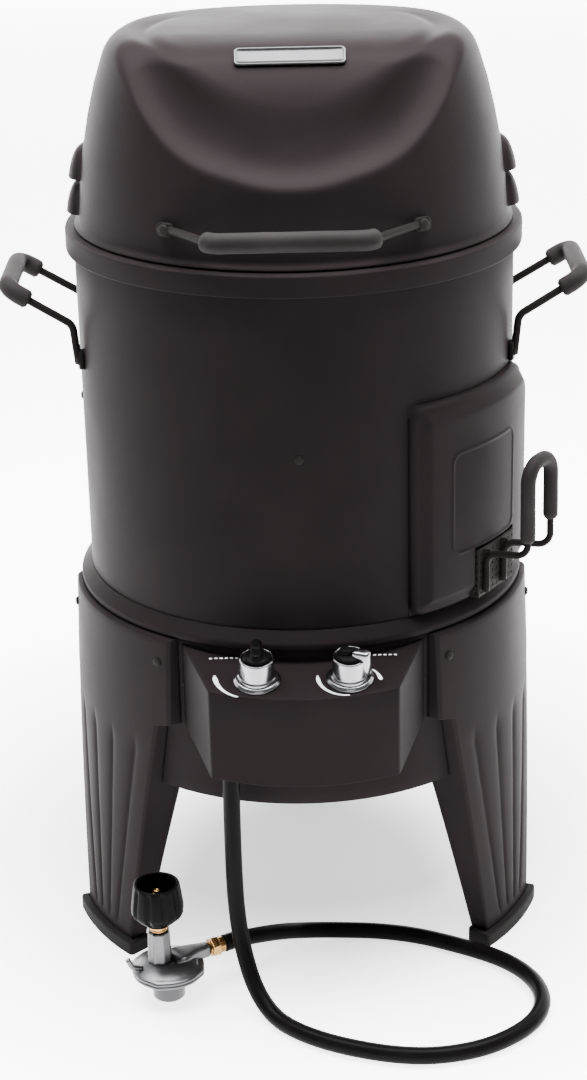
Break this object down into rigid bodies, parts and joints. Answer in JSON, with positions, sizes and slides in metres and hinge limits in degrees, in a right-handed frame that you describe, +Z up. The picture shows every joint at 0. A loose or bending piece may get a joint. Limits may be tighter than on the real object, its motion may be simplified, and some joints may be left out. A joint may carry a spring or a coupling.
{
  "type": "upright gas smoker",
  "caption": "Upright gas smoker: round barrel with hinged domed lid, sliding wood-chip box, lift-out basket, control panel, sheet legs, and a hose with regulator.",
  "frame": {"origin": "on the floor at the middle of the outline seen from above, leaving out the hose and regulator; the barrel's axis is 14 mm behind it", "axes": "+Z up, -Y towards the front with the control panel, +X to the right seen from the front"},
  "size_m": [0.601, 0.663, 0.956],
  "materials": {
    "body_coat": "powder-coated, semi-gloss, brownish black",
    "inner_coat": "black heat-resistant coat",
    "chip_steel": "bare perforated steel",
    "rod_black": "black coated wire",
    "grip_rubber": "matt moulded grip",
    "screw_steel": "zinc-plated screws",
    "wire_chrome": "plated wire",
    "shoe_plastic": "black moulded plastic",
    "plate_metal": "plain bright plate",
    "knob_chrome": "bright plated",
    "stem_steel": "turned steel",
    "valve_metal": "cast and drawn brass",
    "module_plastic": "moulded plastic",
    "burner_iron": "cast iron, rough",
    "hose_rubber": "smooth rubber gas hose",
    "brass": "turned brass",
    "regulator_metal": "bare grey die casting",
    "trim_plastic": "black moulded plastic"
  },
  "bodies": {
    "frame": {"barrel_screws": "screw_steel", "barrel_shell": "body_coat", "base_skirt": "body_coat", "burner_bracket": "inner_coat", "burner_ring": "burner_iron", "burner_venturi": "valve_metal", "chip_cover": "body_coat", "control_panel": "body_coat", "cooking_chamber": "inner_coat", "electrode": "valve_metal", "flare_ring": "body_coat", "gas_bezel": "knob_chrome", "gas_hose": "hose_rubber", "gas_manifold": "valve_metal", "gas_valve": "valve_metal", "handle_left_grip": "grip_rubber", "handle_left_rod": "rod_black", "handle_right_grip": "grip_rubber", "handle_right_rod": "rod_black", "heat_shield": "inner_coat", "hinge_bracket": "body_coat", "hinge_pin": "rod_black", "hose_ferrule": "hose_rubber", "hose_fitting": "brass", "igniter_bezel": "knob_chrome", "igniter_body": "module_plastic", "inlet_elbow": "valve_metal", "leg_left": "body_coat", "leg_rear": "body_coat", "leg_right": "body_coat", "leg_rivets": "screw_steel", "leg_screws": "screw_steel", "nut_stub": "brass", "regulator_body": "regulator_metal", "regulator_trim": "regulator_metal", "shoe_left": "shoe_plastic", "shoe_rear": "shoe_plastic", "shoe_right": "shoe_plastic", "side_handle_bolts": "screw_steel", "top_ring": "body_coat", "tray_rails": "inner_coat"},
    "lid": {"lid_shell": "body_coat", "lid_plate": "plate_metal", "lid_handle_rod": "rod_black", "lid_handle_grip": "grip_rubber", "lid_handle_bolts": "screw_steel", "hinge_leaf": "body_coat"},
    "chip_drawer": {"chip_box": "chip_steel", "chip_box_handle": "rod_black", "chip_box_grip": "grip_rubber"},
    "basket": {"basket_frame": "wire_chrome", "basket_floor": "wire_chrome", "cooking_grate": "wire_chrome"},
    "bail": {"basket_bail": "wire_chrome"},
    "gas_control": {"gas_knob": "knob_chrome", "gas_stem": "stem_steel"},
    "igniter_control": {"igniter_knob": "knob_chrome", "igniter_stem": "stem_steel"},
    "tray": {"grease_tray": "inner_coat"},
    "hand_nut": {"hand_nut": "trim_plastic"}
  },
  "joints": [
    {"name": "lid_hinge", "type": "hinge", "parent": "frame", "child": "lid", "pos_m": [0, 0.261, 0.772], "axis": [-1, 0, 0], "range_deg": [0, 100]},
    {"name": "chip_box_slide", "type": "slide", "parent": "frame", "child": "chip_drawer", "axis": [0.829, -0.5592, 0], "range_m": [0, 0.12]},
    {"name": "basket_lift", "type": "slide", "parent": "frame", "child": "basket", "axis": [0, 0, 1], "range_m": [0, 0.1]},
    {"name": "bail_fold", "type": "hinge", "parent": "basket", "child": "bail", "pos_m": [0, 0.014, 0.656], "axis": [1, 0, 0], "range_deg": [0, 90]},
    {"name": "gas_turn", "type": "hinge", "parent": "frame", "child": "gas_control", "pos_m": [0.0455, -0.247, 0.36124], "axis": [0, -0.2167, 0.9762], "range_deg": [0, 180]},
    {"name": "igniter_turn", "type": "hinge", "parent": "frame", "child": "igniter_control", "pos_m": [-0.0455, -0.247, 0.36124], "axis": [0, -0.2167, 0.9762], "range_deg": [-90, 0], "stiffness_Nm_per_rad": 0.02},
    {"name": "grease_tray_slide", "type": "slide", "parent": "frame", "child": "tray", "axis": [0.866, 0.5, 0], "range_m": [0, 0.2]},
    {"name": "hand_nut_turn", "type": "hinge", "parent": "frame", "child": "hand_nut", "pos_m": [-0.155, -0.244, 0.11], "axis": [0, 0, 1], "continuous": true}
  ]
}
